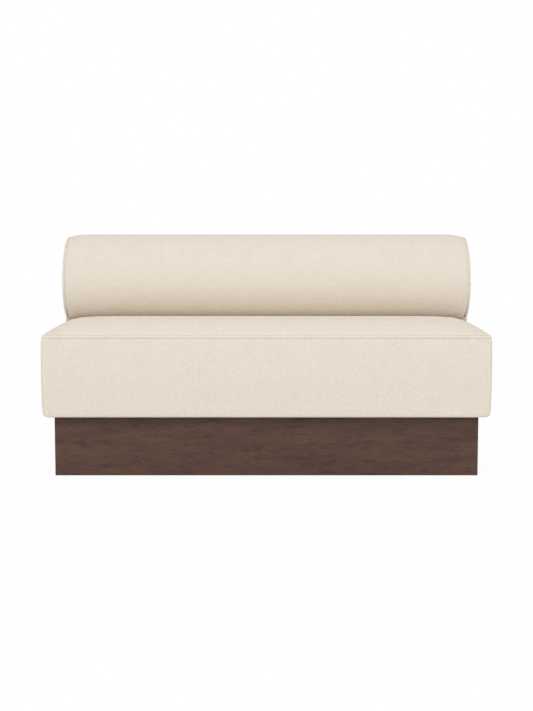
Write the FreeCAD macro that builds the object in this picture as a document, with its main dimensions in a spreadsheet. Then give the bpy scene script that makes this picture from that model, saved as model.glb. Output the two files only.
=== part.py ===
import FreeCAD, Part
import math
import os
import re
import Sketcher

# Upholstered banquette bench: a boxed seat on a recessed timber plinth, with a roll
# backrest carried by an upholstered slab at the rear.
# The bench faces -Y and stands on Z = 0, with its origin under the middle of its box.

Vector = FreeCAD.Vector
UP = Vector(0, 0, 1)
BACKWARD = Vector(0, 1, 0)
FORWARD = Vector(0, -1, 0)

document = FreeCAD.newDocument("banquette_bench")
sheet = document.addObject("Spreadsheet::Sheet", "sizes")
layout = document.addObject("App::FeaturePython", "layout")
parts = []

# Driving dimensions in millimetres, under the assembly that they belong to
SIZES = {
    "whole bench": {
        "bench_width": 1504,
        "bench_depth": 610,
        "fit_gap": 0.3,
        "cover_thickness": 1.6,
        "cut_overrun": 5,
    },
    "plinth": {
        "foot_reveal": 3,
        "plinth_height": 201.2,
        "plinth_recess": 37.5,
        "plinth_board": 18,
        "brace_offset": 235,
        "block_side": 50,
        "block_height": 42,
        "cleat_width": 25,
        "cleat_height": 40,
    },
    "levelling feet": {
        "pad_radius": 20,
        "pad_height": 7,
        "pad_edge": 1.5,
        "pad_floor": 2,
        "hub_radius": 8,
        "hub_height": 3,
        "stud_radius": 4,
        "stud_length": 52,
        "collar_radius": 7.5,
        "collar_height": 4,
        "running_gap": 0.06,
    },
    "fasteners": {
        "nut_flange_radius": 11,
        "nut_flange": 1.5,
        "nut_barrel_radius": 5.2,
        "nut_barrel": 9,
        "screw_radius": 2.25,
        "screw_head_radius": 5,
        "screw_head": 3,
        "screw_length": 50,
        "bolt_radius": 3.95,
        "bolt_head_inset": 3.5,
        "bolt_head": 5,
        "bolt_tip": 4,
        "washer_inset": 1,
        "washer": 1.6,
        "counterbore_gap": 1,
        "counterbore": 7.5,
        "hole_gap": 0.25,
    },
    "seat frame": {
        "base_board": 15,
        "seat_rail": 22,
        "rail_height": 108,
        "brace_drop": 12,
        "frame_inset": 23,
        "cover_return": 45,
        "dust_cover": 0.8,
        "dust_inset": 22,
        "webbing_width": 60,
        "webbing": 2,
        "webbing_count": 11,
        "insulator": 3,
    },
    "seat cushion": {
        "seat_depth": 553,
        "seam_rise": 267,
        "crown_rise": 55,
        "crown_reach": 230,
        "rear_reach": 280,
        "side_bulge": 2,
        "bulge_rise": 190,
        "under_inset": 16,
        "under_height": 44,
        "corner_radius": 12,
        "rear_corner_radius": 5,
        "wrap_thickness": 12,
    },
    "back slab": {
        "slab_height": 543,
        "slab_edge_radius": 9,
        "slab_padding": 8,
        "front_board": 12,
        "rear_board": 3,
        "upright_width": 45,
        "back_rail_height": 70,
        "seat_bolt_rise": 65,
        "roll_bolt_rise": 435,
        "outer_bolt": 600,
        "middle_bolt": 340,
        "inner_bolt": 110,
    },
    "back roll": {
        "roll_centre_rise": 446,
        "roll_centre_depth": 536,
        "roll_half_depth": 148,
        "roll_half_height": 160,
        "roll_lean": 25,
        "roll_seam_width": 1456,
        "roll_taper": 11,
        "taper_length": 86,
        "cap_dome": 22,
        "roll_board": 12,
        "roll_board_width": 1400,
        "roll_board_rise": 320,
        "roll_board_height": 210,
    },
}

# Places that follow from the sizes above
PLACES = {
    "half_width": "bench_width / 2",
    "front": "-bench_depth / 2",
    "rear": "bench_depth / 2",
    "plinth_side": "half_width - plinth_recess",
    "plinth_face": "front + plinth_recess",
    "plinth_back_face": "rear - plinth_recess",
    "inner_side": "plinth_side - plinth_board",
    "inner_front": "plinth_face + plinth_board",
    "inner_rear": "plinth_back_face - plinth_board",
    "plinth_top": "foot_reveal + plinth_height",
    "seat_low": "plinth_top + dust_cover",
    "brace_side": "brace_offset + plinth_board",
    "cleat_low": "plinth_top - cleat_height",
    "foot_side": "inner_side - block_side / 2",
    "foot_front": "inner_front + block_side / 2",
    "foot_rear": "inner_rear - block_side / 2",
    "collar_low": "pad_height + hub_height + running_gap",
    "nut_low": "collar_low + collar_height + fit_gap",
    "block_low": "nut_low + nut_flange",
    "nut_bore": "stud_radius + running_gap",
    "bolt_head_radius": "nut_flange_radius - bolt_head_inset",
    "washer_radius": "nut_flange_radius - washer_inset",
    "counterbore_radius": "nut_flange_radius + counterbore_gap",
    "seam_side": "half_width - side_bulge",
    "seat_rear": "front + seat_depth - fit_gap",
    "dust_side": "half_width - dust_inset",
    "dust_front": "front + dust_inset",
    "dust_rear": "rear - dust_inset",
    "base_low": "seat_low + cover_thickness",
    "rail_low": "base_low + base_board",
    "rail_top": "rail_low + rail_height",
    "webbing_top": "rail_top + webbing",
    "foam_low": "webbing_top + insulator",
    "frame_side": "half_width - frame_inset",
    "frame_front": "front + frame_inset",
    "frame_rear": "seat_rear - cover_thickness",
    "rail_inner_front": "frame_front + seat_rail",
    "rail_inner_rear": "frame_rear - seat_rail",
    "rail_inner_side": "frame_side - seat_rail",
    "seat_brace_side": "brace_offset + seat_rail",
    "webbing_pitch": "2 * rail_inner_side / webbing_count",
    "bulge_height": "seat_low + bulge_rise",
    "seam_height": "seat_low + seam_rise",
    "seat_top": "seam_height + crown_rise",
    "slab_front": "front + seat_depth",
    "slab_top": "seat_low + slab_height",
    "board_front": "slab_front + cover_thickness",
    "timber_front": "board_front + front_board",
    "rear_board_back": "rear - cover_thickness",
    "timber_rear": "rear_board_back - rear_board",
    "slab_frame_side": "seam_side - cover_thickness - slab_padding",
    "slab_frame_top": "slab_top - cover_thickness - slab_padding",
    "upright_inner": "slab_frame_side - upright_width",
    "middle_upright": "(inner_bolt + middle_bolt - upright_width) / 2",
    "middle_upright_end": "middle_upright + upright_width",
    "seat_bolt_height": "seat_low + seat_bolt_rise",
    "roll_bolt_height": "seat_low + roll_bolt_rise",
    "lower_rail_top": "seat_bolt_height + back_rail_height / 2",
    "middle_rail": "roll_bolt_height - back_rail_height / 2",
    "middle_rail_top": "roll_bolt_height + back_rail_height / 2",
    "washer_seat": "timber_rear - counterbore",
    "head_seat": "washer_seat + washer",
    "roll_centre_y": "front + roll_centre_depth",
    "roll_centre_height": "seat_low + roll_centre_rise",
    "roll_board_low": "seat_low + roll_board_rise",
    "roll_board_high": "roll_board_low + roll_board_height",
    "roll_seam_side": "roll_seam_width / 2",
    "roll_back": "slab_front - fit_gap",
    "roll_board_rear": "roll_back - cover_thickness",
    "roll_board_front": "roll_board_rear - roll_board",
}

# Seat border below its full width: share of under_height, share of under_inset
UNDER_SHARES = ((0, 1), (0.05, 0.6), (0.16, 0.31), (0.32, 0.16), (0.58, 0.05), (1, 0))
# Seat crown: share of crown_rise, share of crown_reach, share of rear_reach
CROWN_SHARES = (
    (0.145, 0.012, 0.004),
    (0.23, 0.028, 0.02),
    (0.27, 0.042, 0.2),
    (0.47, 0.115, 0.33),
    (0.67, 0.205, 0.42),
    (0.82, 0.3, 0.554),
    (0.91, 0.4, 0.768),
    (0.965, 0.62, 0.91),
    (1, 1, 1),
)
# Corner radius gained for each unit that a level is drawn in, and its limit as a share of the depth
CORNER_GROWTH_SHARE = 0.3
CORNER_LIMIT_SHARE = 0.4
# Taper of the roll to its end seam: share of taper_length, share of roll_taper
TAPER_SHARES = ((0, 0), (0.3, 0.15), (0.55, 0.38), (0.8, 0.7), (1, 1))
# Domed end of the roll: share of cap_dome, share of the seam's outline
DOME_SHARES = ((0.33, 0.985), (0.44, 0.95), (0.53, 0.88), (0.68, 0.7), (0.86, 0.45), (1, 0.1))
ROLL_ARCS = 6


def fill_sheet():
    row = 1
    for group, sizes in SIZES.items():
        sheet.set(f"A{row}", group)
        for alias, value in sizes.items():
            row += 1
            sheet.set(f"A{row}", alias)
            sheet.set(f"B{row}", str(value))
            sheet.setAlias(f"B{row}", alias)
        row += 2
    document.recompute()
    for name in PLACES:
        layout.addProperty("App::PropertyFloat", name)
    for name, expression in PLACES.items():
        bind(layout, name, expression)
    layout.addProperty("App::PropertyFloat", "probe")
    document.recompute()


# Points each name in an expression to the sheet or to the layout
def expand(expression):
    def owner(match):
        word = match.group(0)
        if word in PLACES:
            return f"layout.{word}"
        if any(word in sizes for sizes in SIZES.values()):
            return f"sizes.{word}"
        return word

    return re.sub(r"[a-z_]+", owner, expression)


def size(name):
    return float(getattr(layout, name) if name in PLACES else sheet.get(name))


def bind(piece, name, expression):
    piece.setExpression(name, expand(expression))


def place(piece, corner, turn=None):
    if turn:
        piece.Placement = FreeCAD.Placement(Vector(), turn)
    for axis, expression in zip("xyz", corner):
        bind(piece, f"Placement.Base.{axis}", expression)


def keep(piece, label):
    piece.Label = label
    parts.append(piece)
    return piece


def box(low, high):
    piece = document.addObject("Part::Box", "box")
    for name, start, end in zip(("Length", "Width", "Height"), low, high):
        bind(piece, name, f"({end}) - ({start})")
    place(piece, low)
    return piece


def cylinder(radius, length, base, direction):
    piece = document.addObject("Part::Cylinder", "cylinder")
    bind(piece, "Radius", radius)
    bind(piece, "Height", length)
    place(piece, base, FreeCAD.Rotation(UP, direction))
    return piece


def joined(pieces):
    group = document.addObject("Part::Compound", "group")
    group.Links = pieces
    return group


def cut(blank, tools):
    result = document.addObject("Part::Cut", "cut")
    result.Base = blank
    result.Tool = tools[0] if len(tools) == 1 else joined(tools)
    return result


# A closed outline whose corners are pairs of expressions, with an optional round hole
def outline(body, role, corners, hole=None):
    plane = next(item for item in body.Origin.OriginFeatures if item.Role == role)
    sketch = body.newObject("Sketcher::SketchObject", f"{body.Name}_outline")
    sketch.AttachmentSupport = [(plane, "")]
    sketch.MapMode = "FlatFace"
    # Rough places that give the outline its turn, before the constraints set it
    rough = [Vector(sheet_value(across), sheet_value(along), 0) for across, along in corners]
    count = len(corners)
    for index in range(count):
        sketch.addGeometry(Part.LineSegment(rough[index], rough[(index + 1) % count]))
    for index in range(count):
        sketch.addConstraint(
            Sketcher.Constraint("Coincident", index, 2, (index + 1) % count, 1)
        )
    for index, corner in enumerate(corners):
        for kind, axis, expression, start in zip(
            ("DistanceX", "DistanceY"), (-2, -1), corner, rough[index]
        ):
            if expression == "0":
                sketch.addConstraint(Sketcher.Constraint("PointOnObject", index, 1, axis))
                continue
            row = sketch.addConstraint(Sketcher.Constraint(kind, -1, 1, index, 1, start))
            bind(sketch, f"Constraints[{row}]", expression)
    if hole:
        across, along, radius = hole
        centre = Vector(sheet_value(across), sheet_value(along), 0)
        ring = sketch.addGeometry(Part.Circle(centre, UP, sheet_value(radius)))
        for kind, expression in (("DistanceX", across), ("DistanceY", along)):
            start = sheet_value(expression)
            row = sketch.addConstraint(Sketcher.Constraint(kind, -1, 1, ring, 3, start))
            bind(sketch, f"Constraints[{row}]", expression)
        row = sketch.addConstraint(Sketcher.Constraint("Radius", ring, sheet_value(radius)))
        bind(sketch, f"Constraints[{row}]", radius)
    return sketch


# The present value of an expression, read through a spare cell of the layout
def sheet_value(expression):
    bind(layout, "probe", expression)
    layout.recompute()
    return float(layout.probe)


def padded(name, corners, height, hole=None):
    body = document.addObject("PartDesign::Body", name)
    sketch = outline(body, "XY_Plane", corners, hole)
    pad = body.newObject("PartDesign::Pad", f"{name}_pad")
    pad.Profile = sketch
    bind(pad, "Length", height)
    return body


# A turned piece: its profile has radii across and heights up
def turned(name, profile):
    body = document.addObject("PartDesign::Body", name)
    sketch = outline(body, "XZ_Plane", profile)
    turning = body.newObject("PartDesign::Revolution", f"{name}_turning")
    turning.Profile = sketch
    turning.ReferenceAxis = (sketch, ["V_Axis"])
    turning.Angle = 360
    return body


# Copies of one piece as separate solids of one node
def copies(label, pattern, places, direction=UP):
    document.recompute()
    turn = FreeCAD.Rotation(UP, direction)
    solids = []
    for corner in places:
        solid = pattern.Shape.copy()
        solid.Placement = FreeCAD.Placement(Vector(*corner), turn)
        solids.append(solid)
    return formed(label, Part.makeCompound(solids))


def formed(label, shape):
    piece = document.addObject("Part::Feature", label)
    piece.Shape = shape
    piece.Placement = FreeCAD.Placement()
    return keep(piece, label)


def solid_box(low, high):
    low, high = Vector(*low), Vector(*high)
    sides = high - low
    return Part.makeBox(sides.x, sides.y, sides.z, low)


# A closed wire of a rectangle lying flat at one height, rounder in front than behind
def rounded_rectangle(side, front, back, height, front_radius, back_radius):
    corners = (
        (side, front, front_radius, -1),
        (side, back, back_radius, 1),
        (-side, back, back_radius, 1),
        (-side, front, front_radius, -1),
    )
    arcs = []
    for index, (across, along, radius, ahead) in enumerate(corners):
        bend = radius * (1 - math.sqrt(0.5))
        outward = math.copysign(1, across)
        on_end = Vector(across - outward * radius, along, height)
        middle = Vector(across - outward * bend, along - ahead * bend, height)
        on_side = Vector(across, along - ahead * radius, height)
        ends = (on_end, on_side) if index % 2 == 0 else (on_side, on_end)
        arcs.append(Part.Arc(ends[0], middle, ends[1]).toShape())
    edges = []
    for index, arc in enumerate(arcs):
        following = arcs[(index + 1) % len(arcs)]
        start = arc.valueAt(arc.LastParameter)
        finish = following.valueAt(following.FirstParameter)
        edges += [arc, Part.LineSegment(start, finish).toShape()]
    return Part.Wire(edges)


# The whole seat as upholstered, drawn in by inset on every side
def seat_form(inset):
    low = size("seat_low")
    high = size("seat_top")
    rows = []
    for rise_share, inset_share in UNDER_SHARES:
        drawn = inset_share * size("under_inset")
        rows.append((low + rise_share * size("under_height"), drawn, 0))
    rows.append((size("bulge_height"), 0, 0))
    rows.append((size("seam_height"), size("side_bulge"), 0))
    for rise_share, reach_share, rear_share in CROWN_SHARES:
        drawn = size("side_bulge") + reach_share * (size("crown_reach") - size("side_bulge"))
        rise = rise_share * size("crown_rise")
        rows.append((size("seam_height") + rise, drawn, rear_share * size("rear_reach")))
    squeeze = 1 - 2 * inset / (high - low)
    wires = []
    for height, drawn, rear_drawn in rows:
        side = size("half_width") - drawn - inset
        front = size("front") + drawn + inset
        back = size("seat_rear") - rear_drawn - inset
        radii = []
        for name, growth in (("corner_radius", drawn), ("rear_corner_radius", rear_drawn)):
            radius = size(name) + CORNER_GROWTH_SHARE * (growth - inset)
            radii.append(min(radius, CORNER_LIMIT_SHARE * (back - front)))
        level = low + inset + (height - low) * squeeze
        wires.append(rounded_rectangle(side, front, back, level, *radii))
    return Part.makeLoft(wires, True, True)


# The roll's full section across the bench: an oval that leans back, before it is cut flat
def roll_section(across, drawn, share):
    half_depth = share * (size("roll_half_depth") - drawn)
    half_height = share * (size("roll_half_height") - drawn)
    lean = size("roll_lean") * half_height / size("roll_half_height")

    def oval(step):
        angle = math.pi * step / ROLL_ARCS
        along = half_depth * math.cos(angle) + lean * math.sin(angle)
        up = half_height * math.sin(angle)
        return Vector(across, size("roll_centre_y") + along, size("roll_centre_height") + up)

    arcs = [Part.Arc(oval(step), oval(step + 1), oval(step + 2)) for step in range(0, 2 * ROLL_ARCS, 2)]
    return Part.Wire([arc.toShape() for arc in arcs])


# The whole roll as upholstered, with its domed ends, drawn in by inset on every side
def roll_form(inset):
    seam = size("roll_seam_side")
    half = []
    for length_share, drawn_share in TAPER_SHARES:
        across = seam - (1 - length_share) * size("taper_length")
        half.append((across, drawn_share * size("roll_taper"), 1))
    for dome_share, outline_share in DOME_SHARES:
        across = seam + dome_share * (size("cap_dome") - inset)
        half.append((across, size("roll_taper"), outline_share))
    stations = [(-across, drawn, share) for across, drawn, share in reversed(half)] + half
    wires = [roll_section(across, drawn + inset, share) for across, drawn, share in stations]
    over = size("cut_overrun")
    side = size("half_width") + over
    far = size("rear") + size("roll_half_depth")
    low = size("seat_low")
    high = size("roll_centre_height") + size("roll_half_height") + over
    behind = solid_box((-side, size("rear") - inset, low), (side, far, high))
    notch_top = size("slab_top") + size("fit_gap") + inset
    notch = solid_box((-side, size("roll_back") - inset, low), (side, far, notch_top))
    return Part.makeLoft(wires, True, True).cut(behind.fuse(notch))


# The upholstered slab, with its upright and its long top edges rounded, drawn in by inset
# on every side but below
def slab_form(inset, low):
    side = size("seam_side") - inset
    front = size("slab_front") + inset
    rear = size("rear") - inset
    block = solid_box((-side, front, low), (side, rear, size("slab_top") - inset))
    rounded = []
    for edge in block.Edges:
        span = edge.BoundBox
        upright = span.ZLength > size("fit_gap")
        along_top = span.XLength > size("fit_gap") and span.ZMin > low + size("fit_gap")
        if upright or along_top:
            rounded.append(edge)
    return block.makeFillet(size("slab_edge_radius") - inset, rounded)


def bore(radius, across, start, end, height):
    return Part.makeCylinder(radius, end - start, Vector(across, start, height), BACKWARD)


def bolt_places():
    offsets = [size(name) for name in ("outer_bolt", "middle_bolt", "inner_bolt")]
    return [side * offset for side in (-1, 1) for offset in offsets]


def make_plinth():
    boards = (
        ("plinth_front", "plinth_side", 0, ("-plinth_side", "plinth_face")),
        ("plinth_right", "rear - plinth_recess", 90, ("plinth_side", "plinth_face")),
        ("plinth_back", "plinth_side", 180, ("plinth_side", "plinth_back_face")),
        ("plinth_left", "rear - plinth_recess", 270, ("-plinth_side", "plinth_back_face")),
    )
    for label, half, turn, corner in boards:
        length = f"2 * ({half})"
        mitred = (
            ("0", "0"),
            (length, "0"),
            (f"{length} - plinth_board", "plinth_board"),
            ("plinth_board", "plinth_board"),
        )
        board = padded(label, mitred, "plinth_height")
        place(board, corner + ("foot_reveal",), FreeCAD.Rotation(UP, turn))
        keep(board, label)
    braces = (
        ("plinth_brace_left", "-brace_side", "-brace_offset"),
        ("plinth_brace_right", "brace_offset", "brace_side"),
    )
    for label, start, end in braces:
        keep(box((start, "inner_front", "foot_reveal"), (end, "inner_rear", "plinth_top")), label)


# Battens inside the plinth's top edge, which the seat's base is screwed to from below,
# through the dust cloth under the whole bench
def make_cleats():
    spans = (
        ("-inner_side", "-brace_side"),
        ("-brace_offset", "brace_offset"),
        ("brace_side", "inner_side"),
    )
    rows = (
        ("inner_front", "inner_front + cleat_width"),
        ("inner_rear - cleat_width", "inner_rear"),
    )
    cleats = []
    drills = []
    screws = []
    for front, back in rows:
        for start, end in spans:
            across = f"({start} + {end}) / 2"
            along = f"({front} + {back}) / 2"
            cleats.append(box((start, front, "cleat_low"), (end, back, "plinth_top")))
            low = "cleat_low - cut_overrun"
            length = "screw_length + cut_overrun + hole_gap"
            drills.append(cylinder("screw_radius + hole_gap", length, (across, along, low), UP))
            screws.append((across, along))
    keep(cut(joined(cleats), drills), "seat_cleats")
    document.recompute()
    base = box(
        ("-frame_side", "frame_front", "base_low"), ("frame_side", "frame_rear", "rail_low")
    )
    keep(cut(base, drills), "seat_base_board")
    dust = box(("-dust_side", "dust_front", "plinth_top"), ("dust_side", "dust_rear", "seat_low"))
    keep(cut(dust, drills), "seat_dust_cover")
    profile = (
        ("0", "0"),
        ("screw_head_radius", "0"),
        ("screw_head_radius", "screw_head"),
        ("screw_radius", "screw_head"),
        ("screw_radius", "screw_head + screw_length"),
        ("0", "screw_head + screw_length"),
    )
    head = size("cleat_low") - size("screw_head")
    spots = [(sheet_value(across), sheet_value(along), head) for across, along in screws]
    copies("cleat_screws", turned("screw", profile), spots)


def make_feet():
    corners = {
        "front_left": ("-foot_side", "foot_front"),
        "front_right": ("foot_side", "foot_front"),
        "rear_left": ("-foot_side", "foot_rear"),
        "rear_right": ("foot_side", "foot_rear"),
    }
    pad_profile = (
        ("0", "0"),
        ("pad_radius - pad_edge", "0"),
        ("pad_radius", "pad_edge"),
        ("pad_radius", "pad_height"),
        ("hub_radius", "pad_height"),
        ("hub_radius", "pad_height + hub_height"),
        ("nut_bore", "pad_height + hub_height"),
        ("nut_bore", "pad_floor"),
        ("0", "pad_floor"),
    )
    stud_low = "pad_floor + running_gap"
    stud_profile = (
        ("0", stud_low),
        ("stud_radius", stud_low),
        ("stud_radius", f"{stud_low} + stud_length"),
        ("0", f"{stud_low} + stud_length"),
    )
    for corner, (across, along) in corners.items():
        pad = turned(f"foot_pad_{corner}", pad_profile)
        place(pad, (across, along, "0"))
        keep(pad, f"foot_pad_{corner}")
        stud = turned(f"foot_stud_{corner}", stud_profile)
        collar = stud.newObject("PartDesign::AdditivePrism", f"collar_{corner}")
        collar.Polygon = 6
        bind(collar, "Circumradius", "collar_radius")
        bind(collar, "Height", "collar_height")
        bind(collar, "Placement.Base.z", "collar_low")
        place(stud, (across, along, "0"))
        keep(stud, f"foot_stud_{corner}")
    spots = [(sheet_value(across), sheet_value(along)) for across, along in corners.values()]
    square = (
        ("0", "0"),
        ("block_side", "0"),
        ("block_side", "block_side"),
        ("0", "block_side"),
    )
    hole = ("block_side / 2", "block_side / 2", "nut_barrel_radius + hole_gap")
    half = size("block_side") / 2
    places = [(across - half, along - half, size("block_low")) for across, along in spots]
    copies("corner_blocks", padded("corner_block", square, "block_height", hole), places)
    places = [(across, along, size("nut_low")) for across, along in spots]
    copies("foot_tee_nuts", tee_nut("foot_tee_nut"), places)


def tee_nut(name):
    profile = (
        ("nut_bore", "0"),
        ("nut_flange_radius", "0"),
        ("nut_flange_radius", "nut_flange"),
        ("nut_barrel_radius", "nut_flange"),
        ("nut_barrel_radius", "nut_flange + nut_barrel"),
        ("nut_bore", "nut_flange + nut_barrel"),
    )
    return turned(name, profile)


def make_seat_frame():
    low, high = "rail_low", "rail_top"
    keep(
        box(("-frame_side", "frame_front", low), ("frame_side", "rail_inner_front", high)),
        "seat_rail_front",
    )
    sides = (
        ("seat_rail_left", "-frame_side", "-rail_inner_side"),
        ("seat_rail_right", "rail_inner_side", "frame_side"),
    )
    for label, start, end in sides:
        keep(box((start, "rail_inner_front", low), (end, "rail_inner_rear", high)), label)
    braces = (
        ("seat_brace_left", "-seat_brace_side", "-brace_offset"),
        ("seat_brace_right", "brace_offset", "seat_brace_side"),
    )
    for label, start, end in braces:
        top = "rail_top - brace_drop"
        keep(box((start, "rail_inner_front", low), (end, "rail_inner_rear", top)), label)
    back_rail = box(("-frame_side", "rail_inner_rear", low), ("frame_side", "frame_rear", high))
    keep(
        cut(back_rail, through_holes("nut_barrel_radius", "rail_inner_rear", "seat_bolt_height")),
        "seat_rail_back",
    )


# Round holes from front to back, one for each bolt across the bench
def through_holes(radius, start, height):
    holes = []
    for name in ("outer_bolt", "middle_bolt", "inner_bolt"):
        for across in (f"-{name}", name):
            base = (across, f"{start} - cut_overrun", height)
            holes.append(cylinder(f"{radius} + hole_gap", "bench_depth", base, BACKWARD))
    return holes


def make_seat_deck():
    straps = []
    for index in range(round(size("webbing_count"))):
        start = f"-rail_inner_side + webbing_pitch * ({index} + 0.5) - webbing_width / 2"
        end = f"{start} + webbing_width"
        straps.append(box((start, "frame_front", "rail_top"), (end, "frame_rear", "webbing_top")))
    keep(joined(straps), "seat_webbing")
    keep(
        box(("-frame_side", "frame_front", "webbing_top"), ("frame_side", "frame_rear", "foam_low")),
        "seat_insulator",
    )


def make_seat_cushion():
    cover = size("cover_thickness")
    gap = size("fit_gap")
    wrap = cover + gap
    foam = wrap + size("wrap_thickness") + gap
    over = size("cut_overrun")
    side = size("half_width") + over
    front = size("front") - over
    rear = size("rear") + over
    base = size("base_low")
    foam_low = size("foam_low")
    top = size("seat_top") + over
    above = solid_box((-side, front, foam_low), (side, rear, top))
    formed("seat_foam", seat_form(foam).common(above))
    padding = seat_form(wrap)
    wrapping = padding.common(above).cut(seat_form(foam - gap))
    formed("seat_fibre_wrap", wrapping)
    frame_side = size("frame_side")
    frame_front = size("frame_front")
    border_top = foam_low - gap
    pieces = (
        ("border_padding_front", (-side, front), (side, frame_front)),
        ("border_padding_left", (-side, frame_front), (-frame_side, rear)),
        ("border_padding_right", (frame_side, frame_front), (side, rear)),
    )
    for label, start, end in pieces:
        region = solid_box(start + (base,), end + (border_top,))
        formed(label, padding.common(region))
    shell = seat_form(0).cut(seat_form(cover))
    return_side = size("half_width") - size("under_inset") - size("cover_return")
    return_front = size("front") + size("under_inset") + size("cover_return")
    opening = solid_box(
        (-return_side, return_front, size("seat_low") - over),
        (return_side, size("frame_rear"), base + over),
    )
    shell = shell.cut(opening)
    radius = size("bolt_radius") + size("hole_gap")
    for across in bolt_places():
        start = size("frame_rear") - over
        shell = shell.cut(bore(radius, across, start, rear, size("seat_bolt_height")))
    seam = size("seam_height")
    formed("seat_cover_top", shell.common(solid_box((-side, front, seam), (side, rear, top))))
    low = size("seat_low") - over
    formed("seat_cover_border", shell.common(solid_box((-side, front, low), (side, rear, seam))))


def make_back_frame():
    uprights = []
    for start, end in (
        ("-slab_frame_side", "-upright_inner"),
        ("-middle_upright_end", "-middle_upright"),
        ("middle_upright", "middle_upright_end"),
        ("upright_inner", "slab_frame_side"),
    ):
        uprights.append(
            box((start, "timber_front", "seat_low"), (end, "timber_rear", "slab_frame_top"))
        )
    keep(joined(uprights), "back_uprights")
    spans = (
        ("-upright_inner", "-middle_upright_end"),
        ("-middle_upright", "middle_upright"),
        ("middle_upright_end", "upright_inner"),
    )
    for label, low, high, height in (
        ("back_lower_rails", "seat_low", "lower_rail_top", "seat_bolt_height"),
        ("back_middle_rails", "middle_rail", "middle_rail_top", "roll_bolt_height"),
    ):
        rails = []
        for start, end in spans:
            rails.append(box((start, "timber_front", low), (end, "timber_rear", high)))
        drills = through_holes("bolt_radius", "timber_front", height)
        recesses = through_holes("counterbore_radius", "washer_seat + cut_overrun", height)
        keep(cut(joined(rails), drills + recesses), label)
    rails = []
    for start, end in spans:
        low = "slab_frame_top - upright_width"
        rails.append(box((start, "timber_front", low), (end, "timber_rear", "slab_frame_top")))
    keep(joined(rails), "back_top_rails")
    board = box(
        ("-slab_frame_side", "board_front", "seat_low"),
        ("slab_frame_side", "timber_front", "slab_frame_top"),
    )
    holes = through_holes("bolt_radius", "board_front", "seat_bolt_height")
    holes += through_holes("bolt_radius", "board_front", "roll_bolt_height")
    keep(cut(board, holes), "back_front_board")
    keep(
        box(
            ("-slab_frame_side", "timber_rear", "seat_low"),
            ("slab_frame_side", "rear_board_back", "slab_frame_top"),
        ),
        "back_rear_board",
    )


def make_back_cover():
    cover = size("cover_thickness")
    gap = size("fit_gap")
    over = size("cut_overrun")
    low = size("seat_low")
    side = size("half_width") + over
    front = size("slab_front") - over
    rear = size("rear") + over
    high = size("slab_top") + over
    frame_side = size("slab_frame_side")
    frame_top = size("slab_frame_top")
    timber = solid_box((-frame_side, front, low - over), (frame_side, rear, frame_top))
    padding = slab_form(cover + gap, low).cut(timber)
    regions = (
        ("back_padding_left", -side, -frame_side, high),
        ("back_padding_right", frame_side, side, high),
        ("back_padding_top", -frame_side, frame_side, high),
    )
    for label, start, end, top in regions:
        formed(label, padding.common(solid_box((start, front, low), (end, rear, top))))
    shell = slab_form(0, low).cut(slab_form(cover, low - over))
    radius = size("bolt_radius") + size("hole_gap")
    for height in (size("seat_bolt_height"), size("roll_bolt_height")):
        for across in bolt_places():
            shell = shell.cut(bore(radius, across, front, size("board_front") + over, height))
    flat_side = size("seam_side") - size("slab_edge_radius")
    flat_top = size("slab_top") - size("slab_edge_radius")
    panel = solid_box((-flat_side, size("rear_board_back"), low), (flat_side, rear, flat_top))
    formed("back_cover_rear", shell.common(panel))
    formed("back_cover_front", shell.cut(panel))


def make_roll():
    cover = size("cover_thickness")
    gap = size("fit_gap")
    wrap = cover + gap
    foam = wrap + size("wrap_thickness") + gap
    over = size("cut_overrun")
    board_side = size("roll_board_width") / 2
    board_front = size("roll_board_front")
    board_rear = size("roll_board_rear")
    board_low = size("roll_board_low")
    board_high = size("roll_board_high")
    height = size("roll_bolt_height")
    board = box(
        ("-roll_board_width / 2", "roll_board_front", "roll_board_low"),
        ("roll_board_width / 2", "roll_board_rear", "roll_board_high"),
    )
    holes = through_holes("nut_barrel_radius", "roll_board_front", "roll_bolt_height")
    keep(cut(board, holes), "roll_board")
    seat = solid_box(
        (-board_side - gap, board_front - gap, board_low - gap),
        (board_side + gap, board_rear + over, board_high + gap),
    )
    depth = size("nut_flange") + size("bolt_tip") + gap
    nut_radius = size("nut_flange_radius") + gap
    for across in bolt_places():
        seat = seat.fuse(bore(nut_radius, across, board_front - depth, board_front, height))
    formed("roll_foam", roll_form(foam).cut(seat))
    wrapping = roll_form(wrap).cut(roll_form(foam - gap)).cut(seat)
    formed("roll_fibre_wrap", wrapping)
    shell = roll_form(0).cut(roll_form(cover))
    radius = size("bolt_radius") + size("hole_gap")
    for across in bolt_places():
        shell = shell.cut(bore(radius, across, board_front, size("slab_front"), height))
    seam = size("roll_seam_side")
    end = size("half_width") + over
    front = size("front")
    rear = size("rear") + over
    low = size("seat_low")
    high = size("roll_centre_height") + size("roll_half_height") + over
    for label, start, finish in (
        ("roll_cap_left", -end, -seam),
        ("roll_cover", -seam, seam),
        ("roll_cap_right", seam, end),
    ):
        formed(label, shell.common(solid_box((start, front, low), (finish, rear, high))))


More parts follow.
